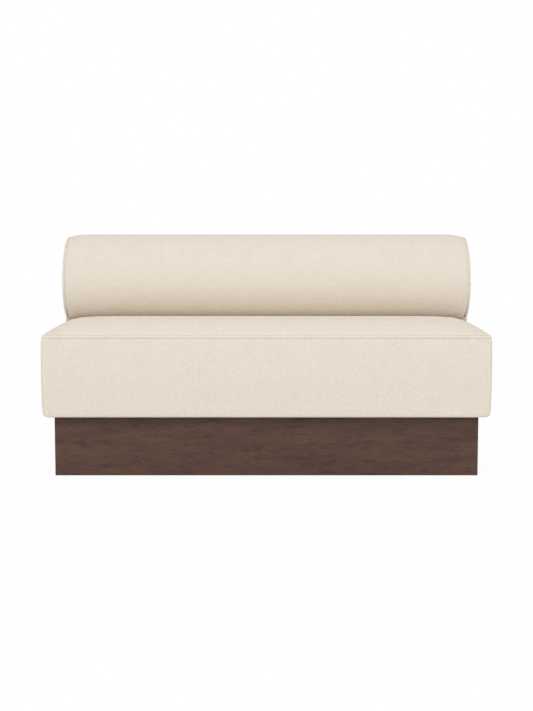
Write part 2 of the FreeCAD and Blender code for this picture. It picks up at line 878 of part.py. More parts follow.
# Bolts that hold the slab to the seat and the roll to the slab, with their washers and nuts
def make_bolts():
    ring = (
        ("bolt_radius + hole_gap", "0"),
        ("washer_radius", "0"),
        ("washer_radius", "washer"),
        ("bolt_radius + hole_gap", "washer"),
    )
    sets = (
        ("seat", "rail_inner_rear", "seat_bolt_height"),
        ("roll", "roll_board_front", "roll_bolt_height"),
    )
    for name, nut_face, height in sets:
        length = f"bolt_head + head_seat - {nut_face} + nut_flange + bolt_tip"
        profile = (
            ("0", "0"),
            ("bolt_head_radius", "0"),
            ("bolt_head_radius", "bolt_head"),
            ("bolt_radius", "bolt_head"),
            ("bolt_radius", length),
            ("0", length),
        )
        level = size(height)
        head = size("head_seat") + size("bolt_head")
        spots = [(across, head, level) for across in bolt_places()]
        copies(f"{name}_bolts", turned(f"{name}_bolt", profile), spots, FORWARD)
        spots = [(across, size("head_seat"), level) for across in bolt_places()]
        copies(f"{name}_washers", turned(f"{name}_washer", ring), spots, FORWARD)
        flange = size(nut_face) - size("nut_flange")
        spots = [(across, flange, level) for across in bolt_places()]
        copies(f"{name}_tee_nuts", tee_nut(f"{name}_tee_nut"), spots, BACKWARD)


def write_parts():
    document.recompute()
    for piece in document.Objects:
        if "Invalid" in piece.State or "Error" in piece.State:
            raise RuntimeError(f"{piece.Label} did not build")
    for piece in parts:
        if piece.Shape.isNull() or not piece.Shape.isValid() or not piece.Shape.Solids:
            raise RuntimeError(f"{piece.Label} has no sound shape")
    os.makedirs("parts", exist_ok=True)
    for piece in parts:
        piece.Shape.exportStep(f"parts/{piece.Label}.step")
    print(len(parts), "parts written")


fill_sheet()
make_plinth()
make_cleats()
make_feet()
make_seat_frame()
make_seat_deck()
make_seat_cushion()
make_back_frame()
make_back_cover()
make_roll()
make_bolts()
write_parts()
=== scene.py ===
import bpy
import math
import numpy as np
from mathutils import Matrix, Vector
from mathutils.geometry import delaunay_2d_cdt


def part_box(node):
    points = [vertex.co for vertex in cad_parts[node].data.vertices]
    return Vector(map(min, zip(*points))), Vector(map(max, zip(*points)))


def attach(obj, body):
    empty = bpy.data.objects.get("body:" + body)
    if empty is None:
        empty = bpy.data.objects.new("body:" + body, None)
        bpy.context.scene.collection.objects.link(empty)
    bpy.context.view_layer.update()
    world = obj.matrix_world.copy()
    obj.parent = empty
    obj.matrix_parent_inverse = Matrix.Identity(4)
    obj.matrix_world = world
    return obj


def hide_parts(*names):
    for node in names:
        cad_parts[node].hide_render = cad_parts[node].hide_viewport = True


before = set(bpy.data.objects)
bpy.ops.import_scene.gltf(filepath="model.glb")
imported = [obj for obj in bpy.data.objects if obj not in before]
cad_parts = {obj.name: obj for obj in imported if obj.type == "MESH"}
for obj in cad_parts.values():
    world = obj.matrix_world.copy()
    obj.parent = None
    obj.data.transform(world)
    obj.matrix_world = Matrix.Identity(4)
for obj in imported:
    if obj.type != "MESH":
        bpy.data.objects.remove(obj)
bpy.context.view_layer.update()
print("frame loaded:", len(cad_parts), "nodes")


# small helpers for curves and meshes

def linear(red, green, blue):
    # screen colour from 0 to 255, as the linear colour that the nodes take
    parts = [value / 255 for value in (red, green, blue)]
    return tuple(v / 12.92 if v <= 0.04045 else ((v + 0.055) / 1.055) ** 2.4 for v in parts) + (1.0,)


def movingMean(values, reach):
    # drops as many values at each end as it reaches
    kernel = np.hanning(2 * reach + 1)
    return np.convolve(values, kernel / kernel.sum(), "valid")


def smoothCurve(knots, reach, spread, count=400):
    # a soft line through (distance, value) pairs, as a function of the distance
    steps = np.linspace(0, reach, count)
    values = np.interp(steps, *zip(*knots))
    width = max(1, int(spread / reach * count)) + 1
    padded = np.concatenate([2 * values[0] - values[width:0:-1], values, np.full(width, values[-1])])
    soft = movingMean(padded, width)
    soft[0] = values[0]
    return lambda distance: np.interp(distance, steps, soft)


def lengthsAlong(path):
    # distance of each point from the path's start
    return np.concatenate([[0], np.cumsum(np.linalg.norm(np.diff(path, axis=0), axis=1))])


def unit(vectors):
    return vectors / np.linalg.norm(vectors, axis=-1, keepdims=True)


def addPiece(name, data):
    # a mesh, lamp or camera as an object of the scene
    piece = bpy.data.objects.new(name, data)
    bpy.context.scene.collection.objects.link(piece)
    return piece


def addMesh(name, points, faces, places=None):
    # a smooth mesh; places are the cloth coordinates of the faces' corners, in metres
    mesh = bpy.data.meshes.new(name)
    mesh.from_pydata(np.array(points).tolist(), [], faces)
    if places is not None:
        mesh.uv_layers.new(name="cloth").data.foreach_set("uv", np.array(places).ravel())
    mesh.polygons.foreach_set("use_smooth", [True] * len(faces))
    mesh.update()
    return addPiece(name, mesh)


def rowMesh(name, rows, wrap=False, flip=False):
    # quads between rows of points; u runs along a row and v across the rows
    rows = np.array(rows, float)
    count, width = rows.shape[:2]
    middle = rows[count // 2]
    u = lengthsAlong(np.concatenate([middle, middle[:1]]))
    v = np.concatenate([[0], np.cumsum(np.linalg.norm(np.diff(rows, axis=0), axis=2).mean(1))])
    faces, places = [], []
    for r in range(count - 1):
        for c in range(width if wrap else width - 1):
            n = (c + 1) % width
            quad = [r * width + c, r * width + n, (r + 1) * width + n, (r + 1) * width + c]
            spots = [(u[c], v[r]), (u[c + 1], v[r]), (u[c + 1], v[r + 1]), (u[c], v[r + 1])]
            faces.append(quad[::-1] if flip else quad)
            places += spots[::-1] if flip else spots
    return addMesh(name, rows.reshape(-1, 3), faces, places)


def joinPieces(name, pieces, weld=0.00002):
    # several meshes as one piece, welded along their shared edges
    bpy.ops.object.select_all(action="DESELECT")
    for piece in pieces:
        piece.select_set(True)
    bpy.context.view_layer.objects.active = pieces[0]
    bpy.ops.object.join()
    whole = bpy.context.view_layer.objects.active
    whole.name = whole.data.name = name
    bpy.ops.object.mode_set(mode="EDIT")
    bpy.ops.mesh.select_all(action="SELECT")
    bpy.ops.mesh.remove_doubles(threshold=weld)
    bpy.ops.mesh.normals_make_consistent(inside=False)
    bpy.ops.object.mode_set(mode="OBJECT")
    whole.data.polygons.foreach_set("use_smooth", [True] * len(whole.data.polygons))
    return whole


def dress(piece, material, nodes=()):
    # every soft piece belongs to the bench; the feet keep their frame shapes
    piece.data.materials.clear()
    piece.data.materials.append(materials[material])
    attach(piece, "bench")
    if nodes:
        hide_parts(*nodes)
    return piece


def softened(piece):
    modifier = piece.modifiers.new("soft", "SUBSURF")
    modifier.levels = modifier.render_levels = 1


# small helpers for materials

def addNode(kind, links, tree=None, **settings):
    # a node in the tree of the sockets that feed it, with its settings and plain values
    sockets = {label: source for label, source in links.items() if isinstance(source, bpy.types.NodeSocket)}
    tree = tree or next(iter(sockets.values())).id_data
    node = tree.nodes.new(kind)
    for name, value in settings.items():
        setattr(node, name, value)
    for label, source in links.items():
        if label in sockets:
            tree.links.new(source, node.inputs[label])
        else:
            node.inputs[label].default_value = source
    return node


def sums(operation, *values):
    return addNode("ShaderNodeMath", dict(enumerate(values)), operation=operation).outputs[0]


def swing(value, amount, base=0.0):
    # the base, moved up or down with what the value is above or below a half
    return sums("MULTIPLY_ADD", sums("SUBTRACT", value, 0.5), amount, base)


def hump(value):
    # rises from 0 to 1 and falls back in each whole step of the value
    return sums("SINE", sums("MULTIPLY", sums("FRACT", value), math.pi))


def blendColour(share, first, second, kind="MIX"):
    links = {0: share, 6: first, 7: second}
    return addNode("ShaderNodeMix", links, data_type="RGBA", blend_type=kind).outputs[2]


def ramp(value, low, high):
    links = {"Value": value, "From Min": low, "From Max": high}
    return addNode("ShaderNodeMapRange", links, interpolation_type="SMOOTHSTEP").outputs[0]


def noise(vector, scale, detail=2.0, rough=0.5):
    # three scales in place of one stretch the noise along the axes
    if isinstance(scale, tuple):
        vector = addNode("ShaderNodeMapping", {"Vector": vector, "Scale": scale}).outputs[0]
        scale = 1.0
    links = {"Vector": vector, "Scale": scale, "Detail": detail, "Roughness": rough}
    return addNode("ShaderNodeTexNoise", links).outputs["Fac"]


def freshTree(owner):
    owner.use_nodes = True
    owner.node_tree.nodes.clear()
    return owner.node_tree


def newGroup(name, numbers):
    # takes coordinates, a pale and a deep colour and some numbers, and gives colour, height and roughness
    tree = bpy.data.node_groups.new(name, "ShaderNodeTree")

    def socket(label, kind, way="INPUT"):
        return tree.interface.new_socket(label, in_out=way, socket_type="NodeSocket" + kind)

    for label, kind in (("Coordinates", "Vector"), ("Pale", "Color"), ("Deep", "Color")):
        socket(label, kind)
    for label, value in numbers.items():
        socket(label, "Float").default_value = value
    for label, kind in (("Colour", "Color"), ("Height", "Float"), ("Roughness", "Float")):
        socket(label, kind, "OUTPUT")
    return tree, tree.nodes.new("NodeGroupInput").outputs


def newMaterial(name, group, pale, deep, bump, values, order=None):
    # one Principled shader fed by one group; a value that isn't the group's goes on the shader
    material = bpy.data.materials.new(name)
    tree = freshTree(material)
    if group == clothGroup:
        source = addNode("ShaderNodeUVMap", {}, tree, uv_map="cloth").outputs["UV"]
    else:
        source = addNode("ShaderNodeTexCoord", {}, tree).outputs["Object"]
    if order:
        axes = addNode("ShaderNodeSeparateXYZ", {0: source}).outputs
        source = addNode("ShaderNodeCombineXYZ", {i: axes[o] for i, o in enumerate(order)}).outputs[0]
    colours = {"Pale": linear(*pale), "Deep": linear(*deep)}
    inner = addNode("ShaderNodeGroup", {"Coordinates": source, **colours}, node_tree=group)
    given = inner.outputs
    relief = addNode("ShaderNodeBump", {"Height": given["Height"], "Strength": bump[0], "Distance": bump[1]})
    shader = addNode("ShaderNodeBsdfPrincipled", {
        "Base Color": given["Colour"], "Roughness": given["Roughness"], "Normal": relief.outputs[0],
    })
    for label, value in values.items():
        (inner if label in inner.inputs else shader).inputs[label].default_value = value
    addNode("ShaderNodeOutputMaterial", {0: shader.outputs[0]})
    return material


# node groups

weave = {
    "wanderScale": 90.0, "wander": 0.0011,
    "threadPower": 0.6, "cellPower": 0.5, "shadedGapTop": 0.75,
    "slubScales": (900.0, 140.0), "slubRoughness": 0.6, "slubHeight": 0.35,
    # the cloud: soft patches of the cloth's tone, part pilling and part painted sheen
    "cloudScale": 14.0, "cloud": 0.045,
    "roughness": (-0.12, 0.97),
}


def makeClothGroup():
    # hopsack weave: cells of a few threads that pass over and under in turn, with painted shade in the gaps between
    # the threads
    numbers = {"Cell Width": 0.0048, "Cell Height": 0.0034, "Threads": 3.0, "Cell Contrast": 0.1, "Slub": 0.08}
    tree, given = newGroup("hopsackWeave", numbers)
    spot = given["Coordinates"]
    stray = (weave["wander"], weave["wander"], 0.0)
    wander = addNode("ShaderNodeTexNoise", {"Vector": spot, "Scale": weave["wanderScale"], "Detail": 1.0})
    shift = addNode("ShaderNodeVectorMath", {0: wander.outputs["Color"], 1: stray}, operation="MULTIPLY")
    moved = addNode("ShaderNodeVectorMath", {0: spot, 1: shift.outputs[0]}, operation="ADD")
    axes = addNode("ShaderNodeSeparateXYZ", {0: moved.outputs[0]}).outputs
    u = sums("DIVIDE", axes[0], given["Cell Width"])
    v = sums("DIVIDE", axes[1], given["Cell Height"])
    cellU, cellV = sums("FLOOR", u), sums("FLOOR", v)
    turn = sums("PINGPONG", sums("ADD", cellU, cellV), 1.0)  # 0 or 1 in turn
    threads = []
    for along, over in ((u, v), (v, u)):
        ridge = hump(sums("MULTIPLY", along, given["Threads"]))
        ridge = sums("POWER", ridge, weave["threadPower"])
        arch = sums("POWER", hump(over), weave["cellPower"])
        threads.append(sums("MULTIPLY", ridge, arch))
    face = addNode("ShaderNodeMix", {0: turn, 2: threads[0], 3: threads[1]}).outputs[0]
    fine, coarse = weave["slubScales"]
    slub = addNode("ShaderNodeMix", {
        0: turn,
        2: noise(spot, (fine, coarse, 1.0), rough=weave["slubRoughness"]),
        3: noise(spot, (coarse, fine, 1.0), rough=weave["slubRoughness"]),
    }).outputs[0]
    cell = addNode("ShaderNodeCombineXYZ", {0: cellU, 1: cellV}).outputs[0]
    chance = addNode("ShaderNodeTexWhiteNoise", {"Vector": cell}, noise_dimensions="2D").outputs["Value"]
    # soft patches of lighter and darker cloth: part pilling, part painted sheen
    cloud = noise(spot, weave["cloudScale"], detail=3.0, rough=0.55)
    light = swing(turn, given["Cell Contrast"], 1.0)
    for value, amount in ((chance, given["Slub"]), (slub, given["Slub"]), (cloud, weave["cloud"])):
        light = swing(value, amount, light)
    # the gaps between the threads, low on the face, take the deep colour: painted shade
    woven = blendColour(ramp(face, 0.0, weave["shadedGapTop"]), given["Deep"], given["Pale"])
    shade = addNode("ShaderNodeCombineColor", {0: light, 1: light, 2: light}).outputs[0]
    addNode("NodeGroupOutput", {
        "Colour": blendColour(1.0, woven, shade, "MULTIPLY"),
        "Height": sums("MULTIPLY_ADD", slub, weave["slubHeight"], face),
        "Roughness": sums("MULTIPLY_ADD", face, *weave["roughness"]),
    })
    return tree


grain = {
    # scales of the noises, along the grain and across it
    "bend": (14.0, 18.0, 18.0), "bands": (4.0, 34.0, 34.0), "patches": (17.0, 48.0, 48.0),
    "fibre": (30.0, 420.0, 420.0), "pores": (120.0, 1300.0, 1300.0), "curl": (42.0, 60.0, 60.0),
    "bendBy": 0.022, "curlBy": 0.016, "linePitch": 0.0062,
    "lineEdges": (0.2, 0.02), "patchEdges": (0.53, 0.64), "poreEdges": (0.6, 0.78),
    "fibreShare": 1.3, "middle": 0.42, "poreDepth": 0.5, "roughness": (0.14, 0.46),
}


def makeGrainGroup():
    # long fibres, broad bands and short wavy figure, along the X of the coordinates
    tree, given = newGroup("woodGrain", {"Figure": 0.5, "Bands": 0.5, "Pores": 0.3})
    spot = given["Coordinates"]
    lift = swing(noise(spot, grain["bend"]), grain["bendBy"])
    offset = addNode("ShaderNodeCombineXYZ", {1: lift, 2: lift}).outputs[0]
    spot = addNode("ShaderNodeVectorMath", {0: spot, 1: offset}, operation="ADD").outputs[0]
    fibre = noise(spot, grain["fibre"], detail=4.0, rough=0.62)
    pore = ramp(noise(spot, grain["pores"]), *grain["poreEdges"])
    # short wavy lines: contours of a bent height, kept only in scattered patches
    upright = addNode("ShaderNodeSeparateXYZ", {0: spot}).outputs[2]
    bent = sums("MULTIPLY_ADD", noise(spot, grain["curl"]), grain["curlBy"], upright)
    level = sums("FRACT", sums("DIVIDE", bent, grain["linePitch"]))
    line = ramp(sums("ABSOLUTE", sums("SUBTRACT", level, 0.5)), *grain["lineEdges"])
    patch = ramp(noise(spot, grain["patches"], rough=0.6), *grain["patchEdges"])
    streak = sums("MULTIPLY", line, patch)
    tone = swing(noise(spot, grain["bands"]), given["Bands"])
    tone = sums("ADD", swing(fibre, grain["fibreShare"], tone), grain["middle"])
    tone = sums("MULTIPLY_ADD", streak, given["Figure"], tone)
    tone = sums("MULTIPLY_ADD", pore, given["Pores"], tone)
    tone = addNode("ShaderNodeClamp", {0: tone}).outputs[0]
    addNode("NodeGroupOutput", {
        "Colour": blendColour(tone, given["Pale"], given["Deep"]),
        "Height": sums("SUBTRACT", 1.0, sums("MULTIPLY_ADD", pore, grain["poreDepth"], tone)),
        "Roughness": sums("MULTIPLY_ADD", tone, *grain["roughness"]),
    })
    return tree


specks = {"edges": (0.42, 0.68), "cloud": 0.35, "roughness": 0.25}


def makeSpeckGroup():
    # even material with two sizes of speck: foam, felt, fibre, hardboard, plastic and zinc
    tree, given = newGroup("fineSpeck", {"Small": 900.0, "Large": 60.0, "Amount": 0.4, "Plain Roughness": 0.7})
    spot = given["Coordinates"]
    small = noise(spot, given["Small"], detail=3.0)
    cells = addNode("ShaderNodeTexVoronoi", {"Vector": spot, "Scale": given["Small"]}).outputs["Distance"]
    share = sums("MULTIPLY", ramp(small, *specks["edges"]), given["Amount"])
    share = swing(noise(spot, given["Large"]), specks["cloud"], share)
    share = addNode("ShaderNodeClamp", {0: share}).outputs[0]
    addNode("NodeGroupOutput", {
        "Colour": blendColour(share, given["Pale"], given["Deep"]),
        "Height": sums("ADD", small, cells),
        "Roughness": swing(small, specks["roughness"], given["Plain Roughness"]),
    })
    return tree


clothGroup = makeClothGroup()
grainGroup = makeGrainGroup()
speckGroup = makeSpeckGroup()

# pale and deep colours, the bump's strength and depth, and other values of the group or the shader
looks = {
    # in the two woven cloths the deep colour is painted shade in the gaps between the threads
    "creamHopsack": ((243, 234, 222), (206, 190, 170), (0.5, 0.0006), {
        "Sheen Weight": 0.04, "Sheen Roughness": 0.5, "Specular IOR Level": 0.15,
    }),
    "elasticWebbing": ((92, 70, 50), (40, 30, 24), (0.8, 0.0008), {
        "Cell Width": 0.003, "Cell Height": 0.003, "Threads": 2.0, "Cell Contrast": 0.3,
    }),
    "creamThread": ((206, 190, 165), (176, 158, 130), (0.3, 0.0002), {"Small": 2600.0, "Sheen Weight": 0.1}),
    "seatFoam": ((236, 226, 184), (205, 190, 140), (0.6, 0.0008), {"Small": 700.0, "Plain Roughness": 0.92}),
    "fibreWrap": ((240, 240, 236), (214, 214, 208), (0.8, 0.002), {
        "Small": 260.0, "Plain Roughness": 0.95, "Sheen Weight": 0.3,
    }),
    "insulatorFelt": ((96, 88, 80), (62, 56, 52), (0.7, 0.001), {"Small": 420.0, "Plain Roughness": 0.95}),
    "blackDustCloth": ((36, 35, 36), (20, 20, 21), (0.4, 0.0004), {
        "Small": 640.0, "Plain Roughness": 0.9, "Specular IOR Level": 0.2,
    }),
    "hardboard": ((122, 86, 56), (84, 56, 36), (0.3, 0.0003), {"Small": 520.0}),
    "blackNylon": ((34, 34, 35), (22, 22, 23), (0.2, 0.0002), {"Small": 1500.0, "Plain Roughness": 0.5}),
    "zincSteel": ((196, 198, 196), (150, 152, 150), (0.15, 0.0002), {
        "Small": 380.0, "Plain Roughness": 0.38, "Metallic": 1.0,
    }),
}
materials = {}
for name, look in looks.items():
    woven = name in ("creamHopsack", "elasticWebbing")
    materials[name] = newMaterial(name, clothGroup if woven else speckGroup, *look)

woods = {
    "plinth": ((104, 79, 68), (64, 45, 37), {"Figure": 0.8, "Bands": 0.9, "Pores": 0.3}),
    "timber": ((222, 190, 140), (176, 132, 82), {"Figure": 0.2, "Bands": 1.4, "Pores": 0.1}),
    "plywood": ((226, 202, 158), (188, 154, 106), {"Figure": 0.4, "Bands": 0.9, "Pores": 0.2}),
}
woodBump = (0.25, 0.0004)
grainOrders = {"x": None, "y": (1, 0, 2), "z": (2, 0, 1)}  # of the axes, with the grain's own first


def woodFor(kind, node):
    # grain along the node's longest side, or along each board where the node is a row of them
    low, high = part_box(node)
    sides = [high[i] - low[i] for i in range(3)]
    if kind == "timber" and node.endswith(("rails", "blocks")) or node == "seat_cleats":
        axis = "x"
    elif node == "back_uprights":
        axis = "z"
    else:
        axis = "xyz"[sides.index(max(sides))]
    name = f"{kind}Wood_{axis}"
    if name not in materials:
        pale, deep, values = woods[kind]
        values = {**values, "Specular IOR Level": 0.2}
        materials[name] = newMaterial(name, grainGroup, pale, deep, woodBump, values, grainOrders[axis])
    return materials[name]


print("materials made")


# seat

seat = {
    "cornerRadius": 0.012,
    "seamCornerRadius": 0.003,
    "cornerSharpening": 0.035,  # height over which the corner turns from sharp to round
    "rearRadius": 0.005,
    "leastRadius": 0.002,
    "cornerOpening": 0.5,  # growth of the band's corner radius as it draws in
    "radiusFollow": 0.3,  # change of the other radii as the sides draw in
    "arcSteps": 3,  # steps in half a corner
    "acrossSteps": 150, "alongSteps": 55,
    "seamTuck": 0.0048, "bandTop": 0.0096, "bandRise": 0.0150,
    "dip": 0.0036, "dipPlace": 0.020, "dipLength": 0.013, "dipAbove": 0.012, "dipBelow": 0.03,
    "pinch": 0.0022, "pinchLength": 0.010, "pinchHeight": 0.0030, "pinchBelow": 0.0006,
    "cornerPull": 0.12, "cornerReach": 0.045,
    "bulge": 0.0019,
    "bulgeSpan": (0.1, 0.8),  # share of a half wave at the wall's top, and down the wall
    "wallSteps": 16,
    "footHeight": 0.040,
    "rearKeep": 0.002,  # draw-in of the sides that the rear doesn't follow
    "clear": 0.0002,
}
borderLow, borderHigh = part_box("seat_cover_border")
topLow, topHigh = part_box("seat_cover_top")
seamHeight = topLow.z
crownRise = topHigh.z - topLow.z
seamSide, seamFront, seamRear = topHigh.x, topLow.y, topHigh.y


def roundedLoop(side, front, rear, frontRadius, rearRadius, height, middle=0.0):
    # points round a rectangle, as four sides that each run from mid-corner to mid-corner
    arc = seat["arcSteps"]
    arcs = []
    for x, y, radius, start in (
        (frontRadius - side, front + frontRadius, frontRadius, math.pi),
        (side - frontRadius, front + frontRadius, frontRadius, 1.5 * math.pi),
        (side - rearRadius, rear - rearRadius, rearRadius, 0.0),
        (rearRadius - side, rear - rearRadius, rearRadius, 0.5 * math.pi),
    ):
        angles = [start + 0.5 * math.pi * k / (2 * arc) for k in range(2 * arc + 1)]
        arcs.append(np.array([(x + radius * math.cos(a), y + radius * math.sin(a), height) for a in angles]))
    sides = []
    for index, steps in enumerate((seat["acrossSteps"], seat["alongSteps"]) * 2):
        leave, reach = arcs[index][arc:], arcs[(index + 1) % 4][:arc + 1]
        straight = [leave[-1] + (reach[0] - leave[-1]) * k / steps for k in range(1, steps)]
        sides.append(np.concatenate([leave, straight, reach]) + (middle, 0, 0))
    return sides


def joinedLoop(sides):
    return np.concatenate([side[:-1] for side in sides])


def coonsPatch(sides):
    # rows of points inside a loop of four sides
    bottom, right, top, left = sides[0], sides[1], sides[2][::-1], sides[3][::-1]
    s = np.linspace(0, 1, len(bottom))[:, None]
    t = np.linspace(0, 1, len(right))[:, None, None]
    across = (1 - t) * bottom + t * top
    along = (1 - s) * left[:, None] + s * right[:, None]
    low = (1 - s) * (1 - t) * bottom[0] + s * (1 - t) * bottom[-1]
    return across + along - (low + (1 - s) * t * top[0] + s * t * top[-1])


# share of the crown's height, over the distance from the sides or front and from the rear
crownShare = smoothCurve((
    (0, 0), (0.0104, 0.18), (0.0264, 0.40), (0.050, 0.66), (0.083, 0.885), (0.144, 0.97), (0.220, 1),
), reach=0.3, spread=0.006)
rearShare = smoothCurve((
    (0, 0), (0.046, 0), (0.083, 0.275), (0.108, 0.549), (0.146, 0.753), (0.206, 0.875), (0.245, 0.9525), (0.270, 1),
), reach=0.3, spread=0.012)


def crownHeight(points, inset):
    # height of the seat's top over its plan, drawn in by inset
    edge = seat["bandTop"]
    side = np.maximum(0, seamSide - inset - edge - np.abs(points[..., 0]))
    front = np.maximum(0, points[..., 1] - seamFront - inset - edge)
    rear = np.maximum(0, seamRear - inset - edge - points[..., 1])
    share = crownShare(side) * crownShare(front) * rearShare(rear)
    band = seat["bandRise"] * cornerFlattening(points)
    return seamHeight - inset + band + (crownRise - band) * share


def fromCorner(points):
    # distance to the nearer front corner of the seam, in plan
    return np.hypot(seamSide - np.abs(points[..., 0]), points[..., 1] - seamFront)


def cornerFlattening(points):
    # share of the band's rise that is left near the pulled-in front corners
    return 1 - seat["cornerPull"] * np.exp(-fromCorner(points) / seat["cornerReach"])


def seamShape(points, rise):
    # beside each front corner the seam sinks a little, and at the corner it is pinched in
    away = fromCorner(points)
    reach = seat["dipAbove"] if rise > 0 else seat["dipBelow"]
    fade = max(0, 1 - abs(rise) / reach) ** 2
    points[:, 2] -= seat["dip"] * np.exp(-((away - seat["dipPlace"]) / seat["dipLength"]) ** 2) * fade
    squeeze = math.exp(-((rise + seat["pinchBelow"]) / seat["pinchHeight"]) ** 2)
    pinch = seat["pinch"] * np.exp(-(away / seat["pinchLength"]) ** 2) * squeeze
    points[:, 0] -= np.sign(points[:, 0]) * pinch
    points[:, 1] += pinch


def topRows(inset, rows):
    # loops of the edge band, from rows of (drawn in, rise) that start at the seam
    loops = []
    for drawn, rise in rows:
        d = drawn + inset
        loop = roundedLoop(
            seamSide - d, seamFront + d, seamRear - d,
            seat["seamCornerRadius"] + seat["cornerOpening"] * drawn,
            max(seat["rearRadius"] - seat["radiusFollow"] * d, seat["leastRadius"]),
            seamHeight - inset,
        )
        for side in loop:
            side[:, 2] += rise * cornerFlattening(side)
            seamShape(side, rise)
        loops.append(loop)
    return loops


# the cover's edge band, as (drawn in, rise) from the seam inwards
bandRows = (
    (seat["seamTuck"], -0.0001), (0.0026, 0.0), (0.0011, 0.0003), (0.0003, 0.0010), (0.0, 0.0022),
    (0.0003, 0.0042), (0.0011, 0.0064), (0.0021, 0.0080), (0.0031, 0.0088),
    (0.0042, 0.0092),  # drawn down by the stitches
    (0.0046, 0.0100), (0.0052, 0.0116), (0.0070, 0.0134), (seat["bandTop"], seat["bandRise"]),
)
# the border below the seam, as (drawn in from the widest, height over the seam)
borderRows = (
    (0.0020 + seat["seamTuck"], -0.0003), (0.0040, -0.0005), (0.0026, -0.0009), (0.0018, -0.0018),
    (0.0014, -0.0036), (0.0010, -0.0080), (0.0006, -0.0160),
)
# its foot, as (sides drawn in, front drawn in, height above the seat's underside)
underRows = (
    (0.0, 0.0, 0.0360), (0.0004, 0.0, 0.0260), (0.0011, 0.0, 0.0190), (0.0019, 0.0001, 0.0140),
    (0.0030, 0.0003, 0.0100), (0.0046, 0.0008, 0.0064), (0.0070, 0.0018, 0.0034), (0.0106, 0.0038, 0.0012),
    (0.0160, 0.0080, 0.0), (0.0260, 0.0200, 0.0), (0.0610, 0.0560, 0.0),
)


def makeSeatTop():
    loops = topRows(0.0, bandRows)
    band = rowMesh("seat_top_band", [joinedLoop(loop) for loop in loops], wrap=True)
    crown = coonsPatch(loops[-1])
    crown[..., 2] = crownHeight(crown, 0.0)
    return joinPieces("seat_top_panel", [rowMesh("seat_top_crown", crown), band])


def borderProfile():
    # (sides drawn in, front drawn in, height) from the seam down and under
    profile = [(drawn, drawn, seamHeight + drop) for drawn, drop in borderRows]
    low = borderLow.z + seat["clear"]
    topDrawn, _, top = profile[-1]
    bulgeStart, bulgeOver = seat["bulgeSpan"]
    for step in range(1, seat["wallSteps"]):
        share = step / seat["wallSteps"]
        drawn = topDrawn - seat["bulge"] * math.sin(math.pi * (share * bulgeOver + bulgeStart))
        profile.append((drawn, drawn, top - share * (top - (low + seat["footHeight"]))))
    return profile + [(side, front, low + height) for side, front, height in underRows]


def makeBorder():
    rows = []
    rounder = seat["cornerRadius"] - seat["seamCornerRadius"]
    for side, front, height in borderProfile():
        below = min(1, (seamHeight - height) / seat["cornerSharpening"])
        radius = seat["seamCornerRadius"] + rounder * math.sin(0.5 * math.pi * below)
        growth = seat["radiusFollow"] * max(0, side)
        loop = joinedLoop(roundedLoop(
            borderHigh.x - side, borderLow.y + front, seamRear - max(0, side - seat["rearKeep"]),
            radius + growth, seat["rearRadius"] + growth, height,
        ))
        seamShape(loop, height - seamHeight)
        rows.append(loop)
    return rowMesh("seat_border", rows, wrap=True, flip=True)


seatTop = dress(makeSeatTop(), "creamHopsack", ["seat_cover_top"])
border = dress(makeBorder(), "creamHopsack", ["seat_cover_border"])
softened(seatTop)
softened(border)
print("seat cover made")


# seat filling and the pads behind the border

filling = {
    "levels": 12, "edgeIn": 0.001, "waist": 0.0006,
    "rows": ((0.0024, 0.006), (0.0052, 0.0115), (seat["bandTop"], seat["bandRise"])),
    "waddingInset": 0.0022,
    "waddingFoot": 0.0004,  # above the foam node's underside
    "foamInset": 0.0145,
    "foamFoot": 0.0008,
}
borderPad = {
    "inset": 0.0024,
    "levels": 14,
    "rows": slice(8, -3),  # the rows of the border's profile that the pads follow
    "clear": 0.0002, "rearClear": 0.0004,
    "frontRadii": (0.010, 0.001), "sideRadii": (0.001, 0.003),  # of the front and rear corners
}


def closedForm(name, loops, crownInset=None):
    # a filled form from its lowest loop to its highest, flat on top or crowned
    walls = rowMesh(name + "_walls", [joinedLoop(loop) for loop in loops], wrap=True)
    low, high = coonsPatch(loops[0]), coonsPatch(loops[-1])
    if crownInset is not None:
        high[..., 2] = crownHeight(high, crownInset)
    return joinPieces(name, [walls, rowMesh(name + "_low", low), rowMesh(name + "_high", high)])


def seatFilling(name, inset, foot):
    # the padding under the cover: walls up to the seam, then the crown, with a flat underside
    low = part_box("seat_foam")[0].z + foot
    loops = []
    for height in np.linspace(low, seamHeight - inset, filling["levels"]):
        wave = math.sin(math.pi * (height - low) / (seamHeight - low))
        drawn = inset + filling["waist"] * (1 - wave)
        loops.append(roundedLoop(
            borderHigh.x - filling["edgeIn"] - drawn, borderLow.y + filling["edgeIn"] + drawn, seamRear - drawn,
            seat["cornerRadius"], seat["rearRadius"], height,
        ))
    loops += topRows(inset, filling["rows"])
    return closedForm(name, loops, crownInset=inset)


def sideSpan(low, high, outer, clear=0.0002):
    # half the width and the middle of a pad at one side, from its node's inner face outwards
    inner = min(abs(low.x), abs(high.x)) + clear
    return (outer - inner) / 2, math.copysign((outer + inner) / 2, low.x)


def makeBorderPad(name, node):
    # a strip of wadding whose outer side follows the border's section
    low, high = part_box(node)
    profile = sorted((z, side, front) for side, front, z in borderProfile()[borderPad["rows"]])
    heights, sides, fronts = zip(*profile)
    loops = []
    for height in np.linspace(low.z, high.z, borderPad["levels"]):
        side, front = (float(np.interp(height, heights, drawn)) + borderPad["inset"] for drawn in (sides, fronts))
        if node.endswith("front"):
            half, middle, radii = borderHigh.x - side, 0.0, borderPad["frontRadii"]
            front, rear = borderLow.y + front, high.y - borderPad["clear"]
        else:
            half, middle, radii = *sideSpan(low, high, borderHigh.x - side), borderPad["sideRadii"]
            front, rear = low.y + borderPad["clear"], high.y - borderPad["rearClear"]
        loops.append(roundedLoop(half, front, rear, *radii, height, middle))
    return closedForm(name, loops)


